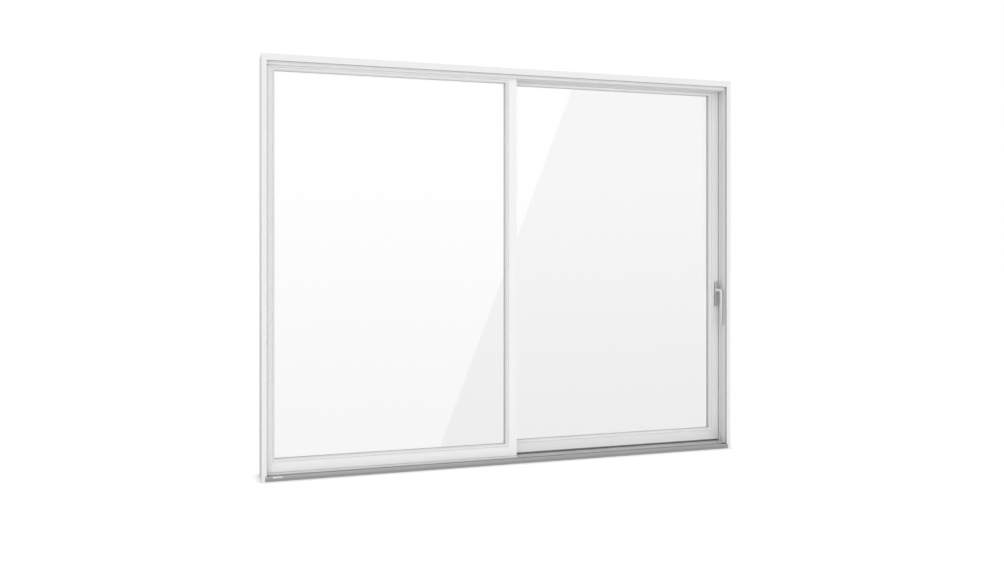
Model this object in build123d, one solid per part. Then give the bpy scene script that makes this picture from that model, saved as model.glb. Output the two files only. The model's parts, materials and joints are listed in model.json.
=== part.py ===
from build123d import *
import os

# A two-panel sliding patio door seen from its room side: the left panel is fixed in front,
# the right panel runs behind it on a rail and carries a lever handle.
# X runs to the right, Y from the room to the outside, Z up. The origin is at the middle of
# the footprint on the floor. All sizes are in millimetres.

# Frame
frame_width = 2600.0
frame_height = 2090.0
jamb_face = 25.0
head_face = 32.0
lip_thick = 3.0
shadow_groove = 11.0
stop_thick = 14.0
jamb_web = 14.0
head_web = 22.0
head_stop_drop = 49.0
fixed_pocket_wall = 20.0
fixed_pocket_roof = 27.0
slide_pocket_roof = 26.0
soffit_clearance = 6.0
soffit_end_gap = 2.0
reveal_groove_wall = 8.0
reveal_wall = 18.0
reveal_start = 27.0
reveal_deep = 33.0
recess_wall = 6.0
closing_wall = 16.0
closing_step = 1.0
edge_round = 1.5

# Threshold
threshold_height = 26.0
threshold_end_wall = 17.0
base_height = 13.0
base_setback = 1.5
nose_height = 25.0
nose_thick = 8.0
deck_ledge = 1.0
groove_floor_thick = 2.0
outer_slope_run = 24.0
outer_slope_drop = 8.0

# Panels
sash_thick = 56.0
seal_gap = 3.0
lane_gap = 12.0
back_margin = 5.0
fixed_width = 1302.0
meeting_overlap = 35.0
closing_gap = 6.0
plinth_height = 11.0
plinth_quirk = 2.5
slide_lift = 10.5
slide_top_gap = 10.0
slim_face = 32.0
fixed_bottom_face = 50.0
slide_bottom_face = 51.5
meeting_face = 46.0
lock_face = 40.5
slide_top_face = 20.0

# Glazing
bead_width = 9.0
bead_setback = 1.0
bead_slope_wide = 4.5
bead_slope_deep = 9.0
quirk_wide = 2.0
quirk_deep = 6.0
gasket_show = 4.0
gasket_back_thick = 2.0
gasket_toe = 2.0
pane_thick = 4.0
pane_setback = 22.0
unit_thick = 20.0
pane_edge_gap = 2.0
spacer_width = 9.0
bead_to_glass = 3.0
lip_land = 2.0
lip_bevel = 8.0

# Seals between frame and panels
frame_seal_width = 8.0
closing_seal_width = 8.0
closing_seal_proud = 1.0
closing_seal_deep = 3.0
closing_seal_inset = 1.0
bottom_seal_thick = 5.0
bottom_seal_height = 5.0
bottom_seal_inset = 5.0
bottom_seal_end_gap = 2.0
interlock_thick = 3.0
interlock_reach = 7.0
interlock_gap = 7.0
interlock_end_gap = 5.0

# Running gear
rail_width = 6.0
rail_foot = 20.0
rail_foot_thick = 2.0
rail_height = 10.0
rail_crown = 2.5
running_clearance = 0.3
roller_radius = 13.0
roller_width = 12.0
roller_groove = 2.5
flange_clearance = 0.5
roller_spacing = 90.0
carriage_length = 150.0
carriage_width = 22.0
carriage_inset = 90.0
carriage_lip = 1.0
cheek_thick = 3.0
axle_radius = 4.0
sash_channel_width = 24.0
sash_channel_deep = 34.0
guide_fin = 6.0
guide_foot = 26.0
guide_foot_thick = 2.0
guide_drop = 18.0
guide_channel_width = 18.0
guide_channel_deep = 14.0
shoe_length = 100.0
shoe_inset = 60.0
shoe_floor = 2.0
shoe_lip = 1.0
shoe_clearance = 0.4

# Lock and handle
spindle_height = 897.0
spindle_inset = 13.0
plate_width = 26.0
plate_below = 90.0
plate_above = 47.0
plate_thick = 9.0
plate_round = 3.0
plate_edge = 1.0
hub_radius = 11.0
handle_reach = 68.0
lever_radius = 8.5
lever_bend = 12.0
lever_drop = 198.0
lever_end_round = 6.0
handle_clearance = 0.3
lock_plate_width = 20.0
lock_plate_length = 1000.0
lock_plate_thick = 2.5
keeper_width = 24.0
keeper_length = 160.0
keeper_thick = 2.0
keeper_proud = 0.5
keeper_slot_width = 9.0
keeper_slot_length = 60.0
bolt_mortise_deep = 9.0

# Flush pull on the outer face of the sliding panel
pull_width = 34.0
pull_length = 140.0
pull_wall = 1.5
pull_deep = 12.0
pull_flange = 5.0
pull_height = 1000.0

# Depths from the front face, worked out from the sizes above
groove_back = lip_thick + shadow_groove
stop_back = groove_back + stop_thick
fixed_front = stop_back + seal_gap
fixed_back = fixed_front + sash_thick
lane_split = fixed_back + seal_gap
slide_front = fixed_back + lane_gap
slide_back = slide_front + sash_thick
frame_depth = slide_back + back_margin
soffit_back = slide_front - soffit_clearance
recess_start = reveal_start + reveal_deep
recess_back = slide_front - closing_step
seal_start = slide_front + closing_seal_inset
track_line = (slide_front + slide_back) / 2
unit_back = pane_setback + unit_thick
rebate_deep = unit_back + gasket_back_thick

# Places in the shared frame
left = -frame_width / 2
right = frame_width / 2
front = -frame_depth / 2
fixed_left = left + fixed_pocket_wall
fixed_right = fixed_left + fixed_width
slide_left = fixed_right - meeting_overlap
slide_right = right - closing_wall - closing_gap
fixed_bottom = threshold_height + plinth_height
fixed_top = frame_height - fixed_pocket_roof
slide_bottom = threshold_height + slide_lift
slide_top = frame_height - slide_pocket_roof - slide_top_gap
lip_wide = bead_width + gasket_show
spindle_x = slide_right - spindle_inset

os.makedirs("parts", exist_ok=True)


def save(node, *solids):
    """Write one node's solids to its own file."""
    shape = solids[0] if len(solids) == 1 else Compound(list(solids))
    export_step(shape, f"parts/{node}.step")


def block(x_low, x_high, y_low, y_high, z_low, z_high):
    """A plain block between two corners."""
    size = Box(x_high - x_low, y_high - y_low, z_high - z_low)
    return Pos((x_low + x_high) / 2, (y_low + y_high) / 2, (z_low + z_high) / 2) * size


def outline(points, rounded=(), radius=edge_round):
    """A closed section, with the corners numbered in rounded eased to a radius."""
    face = make_face(Polyline(*points, close=True))
    corners = [v for v in face.vertices()
               for i in rounded
               if (Vector(v.X, v.Y, 0) - Vector(*points[i])).length < 1e-4]
    return fillet(corners, radius) if corners else face


def upright(section, edge, inward, face, bottom, top, rounded=(), radius=edge_round):
    """A vertical member: section points are (distance in from the edge, depth from the face)."""
    points = [(edge + inward * across, face + deep) for across, deep in section]
    return extrude(Pos(0, 0, bottom) * outline(points, rounded, radius), top - bottom, dir=(0, 0, 1))


def level(section, edge, inward, face, start, end, rounded=(), radius=edge_round):
    """A horizontal member: section points are (distance in from the edge, depth from the face)."""
    points = [(face + deep, edge + inward * across) for across, deep in section]
    plane = Plane(origin=(start, 0, 0), x_dir=(0, 1, 0), z_dir=(1, 0, 0))
    return extrude(plane * outline(points, rounded, radius), end - start, dir=(1, 0, 0))


def mitred(section, side, box, face, rounded=(), radius=edge_round):
    """One side of a rectangle of moulding, cut at 45 degrees through the rectangle's corners."""
    x_low, x_high, z_low, z_high = box
    reach = max(across for across, deep in section) + 1.0
    corners = {
        "left": [(x_low, z_low), (x_low, z_high), (x_low + reach, z_high - reach),
                 (x_low + reach, z_low + reach)],
        "right": [(x_high, z_low), (x_high, z_high), (x_high - reach, z_high - reach),
                  (x_high - reach, z_low + reach)],
        "bottom": [(x_low, z_low), (x_high, z_low), (x_high - reach, z_low + reach),
                   (x_low + reach, z_low + reach)],
        "top": [(x_low, z_high), (x_high, z_high), (x_high - reach, z_high - reach),
                (x_low + reach, z_high - reach)],
    }[side]
    if side == "left":
        bar = upright(section, x_low, 1, face, z_low, z_high, rounded, radius)
    elif side == "right":
        bar = upright(section, x_high, -1, face, z_low, z_high, rounded, radius)
    elif side == "bottom":
        bar = level(section, z_low, 1, face, x_low, x_high, rounded, radius)
    else:
        bar = level(section, z_high, -1, face, x_low, x_high, rounded, radius)
    wedge = extrude(Plane.XZ * make_face(Polyline(*corners, close=True)), frame_depth, both=True)
    return bar & wedge


def loop(section, box, face):
    """A closed rectangle of one section, mitred at its corners."""
    sides = [mitred(section, side, box, face) for side in ("left", "right", "bottom", "top")]
    return sides[0] + sides[1] + sides[2] + sides[3]


def member_section(face_width):
    """A panel member: full thickness over the face, and a lip behind the glass, bevelled outside."""
    inner = face_width + lip_wide
    return [(0, 0), (face_width, 0), (face_width, rebate_deep), (inner, rebate_deep),
            (inner, rebate_deep + lip_land), (inner - lip_bevel, sash_thick), (0, sash_thick)]


# The head: lip, shadow groove, stop, then the two pockets that the panels stand in
head_section = [
    (0, 0), (head_face, 0), (head_face, lip_thick), (head_web, lip_thick),
    (head_web, groove_back), (head_stop_drop, groove_back), (head_stop_drop, stop_back),
    (fixed_pocket_roof, stop_back), (fixed_pocket_roof, lane_split),
    (slide_pocket_roof, lane_split), (slide_pocket_roof, frame_depth), (0, frame_depth),
]
left_jamb_section = [
    (0, 0), (jamb_face, 0), (jamb_face, lip_thick), (jamb_web, lip_thick),
    (jamb_web, groove_back), (jamb_face, groove_back), (jamb_face, stop_back),
    (fixed_pocket_wall, stop_back), (fixed_pocket_wall, lane_split),
    (jamb_face, lane_split), (jamb_face, frame_depth), (0, frame_depth),
]
right_jamb_section = [
    (0, 0), (jamb_face, 0), (jamb_face, lip_thick), (reveal_groove_wall, lip_thick),
    (reveal_groove_wall, reveal_start), (reveal_wall, reveal_start), (reveal_wall, recess_start),
    (recess_wall, recess_start), (recess_wall, recess_back), (closing_wall, recess_back),
    (closing_wall, seal_start), (closing_wall - closing_seal_deep, seal_start),
    (closing_wall - closing_seal_deep, seal_start + closing_seal_width),
    (closing_wall, seal_start + closing_seal_width), (closing_wall, frame_depth), (0, frame_depth),
]


def head(rounded=()):
    """The head, with the front lane closed by a level soffit beside the fixed panel."""
    soffit = block(fixed_right + soffit_end_gap, right, front + stop_back, front + soffit_back,
                   frame_height - head_stop_drop, frame_height - slide_pocket_roof)
    return level(head_section, frame_height, -1, front, left, right, rounded) + soffit


def jamb(section, edge, inward):
    """A jamb coped under the head and notched over the end of the threshold."""
    post = upright(section, edge, inward, front, 0, frame_height, rounded=(0,)) - head()
    notch_near = edge + inward * threshold_end_wall
    notch_far = edge + inward * (2 * jamb_face + threshold_end_wall)
    return post - block(min(notch_near, notch_far), max(notch_near, notch_far),
                        front, front + frame_depth, 0, threshold_height)


def threshold():
    """The aluminium threshold: nose, drip groove, flat deck and outer weather slope."""
    groove_floor = base_height + groove_floor_thick
    deck_front = fixed_front - deck_ledge
    deck = [
        (base_height, 0), (nose_height, 0), (nose_height, nose_thick), (groove_floor, nose_thick),
        (groove_floor, deck_front), (threshold_height, deck_front),
        (threshold_height, frame_depth - outer_slope_run),
        (threshold_height - outer_slope_drop, frame_depth), (base_height, frame_depth),
    ]
    base = [(0, base_setback), (base_height, base_setback), (base_height, frame_depth - base_setback),
            (0, frame_depth - base_setback)]
    ends = (left + threshold_end_wall, right - threshold_end_wall)
    save("threshold_deck", level(deck, 0, 1, front, *ends, rounded=(1,)))
    save("threshold_base", level(base, 0, 1, front, *ends))


def running_rail():
    """The raised rail that the rollers run on, with a rounded top."""
    section = [
        (0, -rail_foot / 2), (rail_foot_thick, -rail_foot / 2), (rail_foot_thick, -rail_width / 2),
        (rail_height, -rail_width / 2), (rail_height, rail_width / 2), (rail_foot_thick, rail_width / 2),
        (rail_foot_thick, rail_foot / 2), (0, rail_foot / 2),
    ]
    rail = level(section, threshold_height, 1, front + track_line, left + jamb_face,
                 right - closing_wall, rounded=(3, 4), radius=rail_crown)
    save("running_rail", rail)


def head_guide():
    """The fin under the head that keeps the top of the sliding panel upright."""
    section = [
        (0, -guide_foot / 2), (guide_foot_thick, -guide_foot / 2), (guide_foot_thick, -guide_fin / 2),
        (guide_drop, -guide_fin / 2), (guide_drop, guide_fin / 2), (guide_foot_thick, guide_fin / 2),
        (guide_foot_thick, guide_foot / 2), (0, guide_foot / 2),
    ]
    guide = level(section, frame_height - slide_pocket_roof, -1, front + track_line,
                  left + jamb_face, right - closing_wall)
    save("head_guide_rail", guide)


def panel(name, box, face_depth, faces, cutters=()):
    """A glazed panel: four members, four beads, gaskets, two panes and their spacer."""
    x_low, x_high, z_low, z_high = box
    y_face = front + face_depth
    sections = {side: member_section(width) for side, width in faces.items()}
    stile_names = {"left": "meeting_stile", "right": "lock_stile"}
    if name == "fixed":
        stile_names = {"left": "left_stile", "right": "meeting_stile"}
    eased = (0, 6)
    stiles = {
        "left": upright(sections["left"], x_low, 1, y_face, z_low, z_high, eased),
        "right": upright(sections["right"], x_high, -1, y_face, z_low, z_high, eased),
    }
    square_stiles = [
        upright(sections["left"], x_low, 1, y_face, z_low, z_high),
        upright(sections["right"], x_high, -1, y_face, z_low, z_high),
    ]
    rails = {
        "bottom": level(sections["bottom"], z_low, 1, y_face, x_low, x_high, eased),
        "top": level(sections["top"], z_high, -1, y_face, x_low, x_high, eased),
    }
    for side in rails:
        for stile in square_stiles:
            rails[side] -= stile
    members = {stile_names[side]: shape for side, shape in stiles.items()}
    members.update({f"{side}_rail": shape for side, shape in rails.items()})
    for cutter in cutters:
        for key in members:
            members[key] -= cutter
    for key, shape in members.items():
        save(f"{name}_{key}", shape)

    opening = (x_low + faces["left"], x_high - faces["right"],
               z_low + faces["bottom"], z_high - faces["top"])
    bead_back = pane_setback - bead_to_glass
    bead = [(0, quirk_deep), (quirk_wide, quirk_deep), (quirk_wide, bead_setback),
            (bead_width - bead_slope_wide, bead_setback),
            (bead_width, bead_setback + bead_slope_deep), (bead_width, bead_back), (0, bead_back)]
    for side in ("left", "right", "bottom", "top"):
        save(f"{name}_bead_{side}", mitred(bead, side, opening, y_face))

    gasket_front = [
        (pane_edge_gap, bead_back), (bead_width, bead_back),
        (bead_width, bead_back - gasket_show), (bead_width + gasket_show, pane_setback - gasket_toe),
        (bead_width + gasket_show, pane_setback), (pane_edge_gap, pane_setback),
    ]
    gasket_back = [(pane_edge_gap, unit_back), (lip_wide, unit_back), (lip_wide, rebate_deep),
                   (pane_edge_gap, rebate_deep)]
    save(f"{name}_gaskets", loop(gasket_front, opening, y_face), loop(gasket_back, opening, y_face))

    glass = (opening[0] + pane_edge_gap, opening[1] - pane_edge_gap,
             opening[2] + pane_edge_gap, opening[3] - pane_edge_gap)
    for label, start in (("front", pane_setback), ("back", unit_back - pane_thick)):
        save(f"{name}_pane_{label}", block(glass[0], glass[1], y_face + start,
                                           y_face + start + pane_thick, glass[2], glass[3]))
    spacer = [(0, pane_setback + pane_thick), (spacer_width, pane_setback + pane_thick),
              (spacer_width, unit_back - pane_thick), (0, unit_back - pane_thick)]
    save(f"{name}_spacer", loop(spacer, glass, y_face))


def fixed_panel():
    """The fixed panel, its plinth, its seal against the frame and its half of the interlock."""
    panel("fixed", (fixed_left, fixed_right, fixed_bottom, fixed_top), fixed_front,
          {"left": slim_face, "right": meeting_face, "bottom": fixed_bottom_face, "top": slim_face})
    plinth = [(0, 0), (plinth_height - plinth_quirk, 0), (plinth_height - plinth_quirk, quirk_deep),
              (plinth_height, quirk_deep), (plinth_height, sash_thick), (0, sash_thick)]
    save("fixed_plinth", level(plinth, threshold_height, 1, front + fixed_front, fixed_left, fixed_right))
    seal = [(0, stop_back), (frame_seal_width, stop_back), (frame_seal_width, fixed_front),
            (0, fixed_front)]
    side = upright(seal, fixed_left, 1, front, fixed_bottom, fixed_top - frame_seal_width)
    top = level(seal, fixed_top, -1, front, fixed_left, fixed_right)
    save("fixed_panel_seal", side + top)
    hook_x = (fixed_right + slide_left) / 2 + interlock_gap / 2
    save("fixed_interlock", block(hook_x, hook_x + interlock_thick, front + fixed_back,
                                  front + fixed_back + interlock_reach, fixed_bottom,
                                  slide_top - interlock_end_gap))


def sliding_panel():
    """The sliding panel with its channels for running gear, lock and flush pull."""
    y_track = front + track_line
    roller_channel = block(slide_left, slide_right, y_track - sash_channel_width / 2,
                           y_track + sash_channel_width / 2, slide_bottom,
                           slide_bottom + sash_channel_deep)
    guide_channel = block(slide_left, slide_right, y_track - guide_channel_width / 2,
                          y_track + guide_channel_width / 2, slide_top - guide_channel_deep, slide_top)
    lock_recess = block(slide_right - lock_plate_thick, slide_right, y_track - lock_plate_width / 2,
                        y_track + lock_plate_width / 2, spindle_height - lock_plate_length / 2,
                        spindle_height + lock_plate_length / 2)
    pull_x = slide_right - lock_face / 2
    pull_hole = block(pull_x - pull_width / 2 + pull_flange, pull_x + pull_width / 2 - pull_flange,
                      front + slide_back - pull_deep - pull_wall, front + slide_back,
                      pull_height - pull_length / 2 + pull_flange,
                      pull_height + pull_length / 2 - pull_flange)
    panel("slide", (slide_left, slide_right, slide_bottom, slide_top), slide_front,
          {"left": meeting_face, "right": lock_face, "bottom": slide_bottom_face, "top": slide_top_face},
          (roller_channel, guide_channel, lock_recess, pull_hole))

    hook_x = (fixed_right + slide_left) / 2 - interlock_gap / 2
    save("slide_interlock", block(hook_x - interlock_thick, hook_x, front + slide_front - interlock_reach,
                                  front + slide_front, slide_bottom + interlock_end_gap,
                                  slide_top - interlock_end_gap))
    save("slide_bottom_seal", block(slide_left + bottom_seal_end_gap, slide_right - bottom_seal_end_gap,
                                    front + slide_front + bottom_seal_inset,
                                    front + slide_front + bottom_seal_inset + bottom_seal_thick,
                                    slide_bottom - bottom_seal_height, slide_bottom))
    save("lock_faceplate", lock_recess - block(slide_right - lock_plate_thick, slide_right,
                                               y_track - keeper_slot_width / 2,
                                               y_track + keeper_slot_width / 2,
                                               spindle_height - keeper_slot_length / 2,
                                               spindle_height + keeper_slot_length / 2))


def running_gear():
    """Two roller carriages in the bottom channel and two guide shoes in the top one."""
    y_track = front + track_line
    rail_top = threshold_height + rail_height
    axle_z = rail_top + running_clearance + roller_radius - roller_groove
    channel_top = slide_bottom + sash_channel_deep
    housings, rollers, shoes = [], [], []
    for middle in (slide_left + carriage_inset + carriage_length / 2,
                   slide_right - carriage_inset - carriage_length / 2):
        outer = block(middle - carriage_length / 2, middle + carriage_length / 2,
                      y_track - carriage_width / 2, y_track + carriage_width / 2,
                      slide_bottom + carriage_lip, channel_top)
        inner = block(middle - carriage_length / 2, middle + carriage_length / 2,
                      y_track - carriage_width / 2 + cheek_thick, y_track + carriage_width / 2 - cheek_thick,
                      slide_bottom, channel_top - cheek_thick)
        housing = outer - inner
        for offset in (-roller_spacing / 2, roller_spacing / 2):
            place = Pos(middle + offset, y_track, axle_z) * Rot(90, 0, 0)
            wheel = Cylinder(roller_radius, roller_width)
            groove_width = rail_width + 2 * flange_clearance
            groove = Cylinder(roller_radius, groove_width)
            groove -= Cylinder(roller_radius - roller_groove, groove_width)
            axle = Cylinder(axle_radius, carriage_width)
            rollers.append(place * (wheel - groove + axle))
            housing -= place * axle
        housings.append(housing)
    for middle in (slide_left + shoe_inset + shoe_length / 2, slide_right - shoe_inset - shoe_length / 2):
        body = block(middle - shoe_length / 2, middle + shoe_length / 2, y_track - guide_channel_width / 2,
                     y_track + guide_channel_width / 2, slide_top - guide_channel_deep,
                     slide_top - shoe_lip)
        slot = block(middle - shoe_length / 2, middle + shoe_length / 2,
                     y_track - guide_fin / 2 - shoe_clearance, y_track + guide_fin / 2 + shoe_clearance,
                     slide_top - guide_channel_deep + shoe_floor, slide_top)
        shoes.append(body - slot)
    save("roller_housings", *housings)
    save("rollers", *rollers)
    save("guide_shoes", *shoes)


def closing_jamb():
    """The right jamb with its seal, and its keeper let in over a mortise for the bolt."""
    wall = right - closing_wall
    y_seal = front + seal_start
    y_track = front + track_line
    save("closing_seal", block(wall - closing_seal_proud, wall + closing_seal_deep, y_seal,
                               y_seal + closing_seal_width, threshold_height,
                               frame_height - slide_pocket_roof))
    plate = block(wall - keeper_proud, wall - keeper_proud + keeper_thick, y_track - keeper_width / 2,
                  y_track + keeper_width / 2, spindle_height - keeper_length / 2,
                  spindle_height + keeper_length / 2)
    mortise = block(wall - keeper_proud, wall + bolt_mortise_deep, y_track - keeper_slot_width / 2,
                    y_track + keeper_slot_width / 2, spindle_height - keeper_slot_length / 2,
                    spindle_height + keeper_slot_length / 2)
    save("keeper", plate - mortise)
    save("frame_right_jamb", jamb(right_jamb_section, right, -1) - plate - mortise)


def handle():
    """The back plate and the lever: a tapered neck that bends into a round bar hanging down."""
    y_face = front + slide_front
    plate = block(spindle_x - plate_width / 2, spindle_x + plate_width / 2, y_face - plate_thick, y_face,
                  spindle_height - plate_below, spindle_height + plate_above)
    plate = fillet(plate.edges().filter_by(Axis.Y), plate_round)
    plate = fillet(plate.faces().sort_by(Axis.Y)[0].edges(), plate_edge)
    save("handle_plate", plate)
    y_bar = y_face - handle_reach + lever_radius
    y_bend = y_bar + lever_bend
    y_plate = y_face - plate_thick - handle_clearance
    neck = Cone(hub_radius, lever_radius, y_plate - y_bend)
    neck = Pos(spindle_x, (y_bend + y_plate) / 2, spindle_height) * Rot(90, 0, 0) * neck
    bend = TangentArc((spindle_x, y_bend, spindle_height),
                      (spindle_x, y_bar, spindle_height - lever_bend), tangent=(0, -1, 0))
    drop = Line(bend @ 1, (spindle_x, y_bar, spindle_height - lever_drop))
    bar = sweep(Plane(origin=bend @ 0, z_dir=bend % 0) * Circle(lever_radius), bend + drop)
    bar = fillet(bar.faces().sort_by(Axis.Z)[0].edges(), lever_end_round)
    save("handle_lever", neck + bar)


def flush_pull():
    """A shallow cup let into the outer face, with a thin flange round its mouth."""
    pull_x = slide_right - lock_face / 2
    y_back = front + slide_back
    flange = block(pull_x - pull_width / 2, pull_x + pull_width / 2, y_back, y_back + pull_wall,
                   pull_height - pull_length / 2, pull_height + pull_length / 2)
    cup_half = pull_width / 2 - pull_flange
    cup_rise = pull_length / 2 - pull_flange
    cup = block(pull_x - cup_half, pull_x + cup_half, y_back - pull_deep - pull_wall, y_back,
                pull_height - cup_rise, pull_height + cup_rise)
    hollow = block(pull_x - cup_half + pull_wall, pull_x + cup_half - pull_wall, y_back - pull_deep,
                   y_back + pull_wall, pull_height - cup_rise + pull_wall, pull_height + cup_rise - pull_wall)
    save("flush_pull", flange + cup - hollow)


save("frame_head", head(rounded=(0,)))
save("frame_left_jamb", jamb(left_jamb_section, left, 1))
closing_jamb()
threshold()
running_rail()
head_guide()
fixed_panel()
sliding_panel()
running_gear()
handle()
flush_pull()
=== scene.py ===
"""Studio picture of a two-panel sliding patio door, built round its measured frame.

The left panel is fixed and stands in front; the right panel slides behind it and carries a lever
handle. Sizes are in metres, in the frame's own axes: X to the right, Y to the outside, Z up.
"""

import json
import logging
import math
from dataclasses import dataclass, field
from enum import Enum
from typing import Callable, Optional

import bmesh
import bpy
from mathutils import Matrix, Vector


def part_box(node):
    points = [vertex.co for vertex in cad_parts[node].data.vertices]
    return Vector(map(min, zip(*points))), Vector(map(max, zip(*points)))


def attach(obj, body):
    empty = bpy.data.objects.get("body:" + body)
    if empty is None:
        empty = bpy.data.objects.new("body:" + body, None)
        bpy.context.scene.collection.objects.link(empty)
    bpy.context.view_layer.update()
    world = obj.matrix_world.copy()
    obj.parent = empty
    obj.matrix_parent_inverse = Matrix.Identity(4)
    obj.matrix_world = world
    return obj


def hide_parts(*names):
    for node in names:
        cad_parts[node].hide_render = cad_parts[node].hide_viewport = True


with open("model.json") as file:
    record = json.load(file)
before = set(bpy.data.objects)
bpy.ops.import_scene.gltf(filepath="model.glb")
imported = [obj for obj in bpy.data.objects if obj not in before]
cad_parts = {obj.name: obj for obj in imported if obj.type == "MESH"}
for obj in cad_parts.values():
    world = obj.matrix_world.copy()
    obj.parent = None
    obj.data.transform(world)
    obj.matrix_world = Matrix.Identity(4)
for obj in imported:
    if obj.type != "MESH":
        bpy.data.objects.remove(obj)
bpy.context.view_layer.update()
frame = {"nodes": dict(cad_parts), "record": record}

Corner = tuple[float, float, float]
Colour = tuple[float, float, float, float]
Node = bpy.types.Node
Socket = bpy.types.NodeSocket
Tree = bpy.types.NodeTree
Material = bpy.types.Material
Test = Callable[[Vector, Vector], bool]

LOG = logging.getLogger("patio_door")
X, Y, Z = range(3)

# How near two places count as one, and the cosine over which a direction counts as an axis
SAME = 0.00005
STRAIGHT = 0.99

# The paint's level on the frame, and the lighter levels on the panels and glazing beads that paint
# light into their shaded recesses; and how warm the dust is
FRAME_WHITE = 0.86
PANEL_WHITE_WITH_PAINTED_LIGHT = 0.91
BEAD_WHITE_WITH_PAINTED_LIGHT = 0.95
DUST_WARMTH = 0.006

# The angle in degrees over which an edge stays sharp, on most pieces and on small round heads
SHARP = 35.0
SHARP_ROUND = 30.0


class Body(Enum):
    """The rigid bodies that pieces ride on."""

    FRAME = "frame"
    PANEL = "sliding_panel"
    LEVER = "lever"


class Slot(Enum):
    """The material slots of the door's record."""

    TIMBER = "painted_timber"
    BEAD = "painted_bead"
    THRESHOLD = "threshold_metal"
    BASE = "threshold_composite"
    RAIL = "rail_steel"
    GUIDE = "guide_metal"
    GASKET = "glazing_gasket"
    SEAL = "seal_rubber"
    GLASS = "clear_glass"
    SPACER = "spacer_bar"
    LOCK = "lock_steel"
    RUNNING = "running_plastic"
    HANDLE = "handle_metal"


class Grain(Enum):
    """The direction that timber grows or metal was drawn in, as a stretch of each axis."""

    ALONG_X = (0.02, 1.0, 1.0)
    ALONG_Z = (1.0, 1.0, 0.02)


class Part(Enum):
    """What a selection picks in edit mode."""

    FACE = "FACE"
    EDGE = "EDGE"
    VERTEX = "VERT"


@dataclass
class Wiring:
    """A small helper that adds and joins the nodes of one node tree."""

    tree: Tree

    def add(self, kind: str, group: Optional[Tree] = None, **sockets: object) -> Node:
        """Add a node and set its input sockets by name.

        Args:
            kind: the node's type name, without its ShaderNode prefix.
            group: the shared effect that a Group node stands for.
            **sockets: values by socket name, with spaces written as underscores.

        Returns:
            The new node.
        """
        node = self.tree.nodes.new("ShaderNode" + kind)
        if group is not None:
            node.node_tree = group
        for name, value in sockets.items():
            node.inputs[name.replace("_", " ")].default_value = value
        return node

    def join(self, source: Socket, target: Socket) -> None:
        """Link one output to one input."""
        self.tree.links.new(source, target)

    def feed(self, value: object, target: Socket) -> None:
        """Link an output to an input, or set the input to a plain value.

        Args:
            value: the output, number, vector or colour.
            target: the input.
        """
        if isinstance(value, Socket):
            self.join(value, target)
        else:
            target.default_value = value

    def chain(self, kind: str, *values: object, operation: str = "") -> Node:
        """Add a node and feed its inputs in order.

        Args:
            kind: the node's type name, without its ShaderNode prefix.
            *values: what goes to its first inputs, as outputs or plain values.
            operation: what a node that works with numbers or vectors does.

        Returns:
            The new node.
        """
        node = self.add(kind)
        if operation:
            node.operation = operation
        for value, target in zip(values, node.inputs):
            self.feed(value, target)
        return node

    def number(self, operation: str, *values: object) -> Socket:
        """Work out one number from others, given plain or as outputs."""
        return self.chain("Math", *values, operation=operation).outputs["Value"]

    def vector(self, operation: str, *values: object) -> Socket:
        """Work with vectors, given plain or as outputs; some operations return a number."""
        result = "Value" if operation in ("DOT_PRODUCT", "LENGTH") else "Vector"
        return self.chain("VectorMath", *values, operation=operation).outputs[result]

    def shader(self, kind: str, *parts: Socket) -> Socket:
        """Join shaders by an Add Shader, or by a Mix Shader whose factor is the first part."""
        return self.chain(kind, *parts).outputs["Shader"]

    def white(self, kind: str, level: object) -> Socket:
        """Add a white Background or Emission of one level, given plain or as an output."""
        return self.chain(kind, grey(1.0), level).outputs[kind]

    def blend(self, factor: Socket, low: object, high: Colour) -> Socket:
        """Mix two colours by a factor.

        Args:
            factor: the output that chooses between them.
            low: the colour at 0, or its output.
            high: the colour at 1.

        Returns:
            The mixed colour's output.
        """
        mix = self.add("Mix")
        mix.data_type = "RGBA"
        colours = [socket for socket in mix.inputs if socket.type == "RGBA"]
        for value, target in zip((factor, low, high), (mix.inputs["Factor"], *colours)):
            self.feed(value, target)
        return [socket for socket in mix.outputs if socket.type == "RGBA"][0]

    def ramp(self, value: Socket, **ends: float) -> Socket:
        """Map a number from one range to another, held at both ends.

        Args:
            value: the number's output.
            **ends: the ends that aren't 0 and 1, by the Map Range node's socket names.

        Returns:
            The mapped number's output.
        """
        node = self.add("MapRange", **ends)
        self.join(value, node.inputs["Value"])
        return node.outputs["Result"]

    def spread(self, mask: Socket, middle: float, reach: float) -> Socket:
        """Turn a mask from 0 to 1 into a value that varies about a middle by a reach."""
        return self.ramp(mask, To_Min=middle - reach, To_Max=middle + reach)

    def noise(self, place: Socket, scale: Socket, detail: float, roughness: float) -> Socket:
        """Add a noise pattern.

        Args:
            place: the coordinates' output.
            scale: the scale's output.
            detail: how many finer layers it has.
            roughness: how strong the finer layers are.

        Returns:
            The pattern's output.
        """
        node = self.add("TexNoise", Detail=detail, Roughness=roughness)
        self.join(place, node.inputs["Vector"])
        self.join(scale, node.inputs["Scale"])
        return node.outputs["Fac"]

    def bump(self, shader: Node, height: Socket, strength: float, depth: float) -> None:
        """Shade a surface as if a height were raised on it.

        Args:
            shader: the Principled shader.
            height: the height's output.
            strength: how much of the bump shows.
            depth: the bump's depth in metres.
        """
        node = self.add("Bump", Strength=strength, Distance=depth)
        self.join(height, node.inputs["Height"])
        self.join(node.outputs["Normal"], shader.inputs["Normal"])


def grey(level: float) -> Colour:
    """Return a neutral colour of one linear level."""
    return (level, level, level, 1.0)


def dust_and_sheen_colour(level: float) -> Colour:
    """Return the faintly warm colour of dust of one linear level, which on the threshold also
    paints a sheen.
    """
    return (level * (1 + DUST_WARMTH), level, level * (1 - DUST_WARMTH), 1.0)


def axis_values(grain: Grain) -> dict[str, float]:
    """Return a grain's stretch of each axis by the names of the group's inputs."""
    return {f"Along_{axis}": stretch for axis, stretch in zip("XYZ", grain.value)}


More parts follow.
